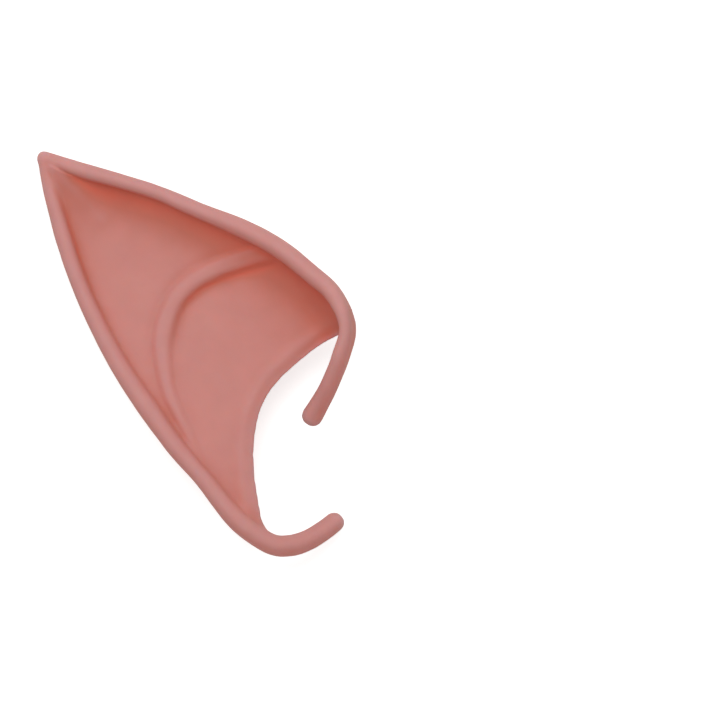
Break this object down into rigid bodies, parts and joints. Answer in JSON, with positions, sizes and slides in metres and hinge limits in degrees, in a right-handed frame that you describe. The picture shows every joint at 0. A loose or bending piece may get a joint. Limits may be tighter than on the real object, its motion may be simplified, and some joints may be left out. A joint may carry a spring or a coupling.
{
  "type": "elf ear tip",
  "caption": "Soft latex elf ear cap with a long point, a rolled rim and a curved inner ridge; it slips over the wearer's own ear and hooks in front of it and under its lobe.",
  "frame": {"origin": "centre of the bounding box, on the flat of the back that it lies on", "axes": "+X to the mouth where the wearer's ear goes in, +Y to the upper rim and the tip, +Z out of the ear's hollow front, away from the head"},
  "size_m": [0.0828, 0.1054, 0.0256],
  "materials": {
    "latex": "matte, powdered flesh-pink latex"
  },
  "bodies": {
    "root": {"ear_skin": "latex"}
  },
  "joints": []
}
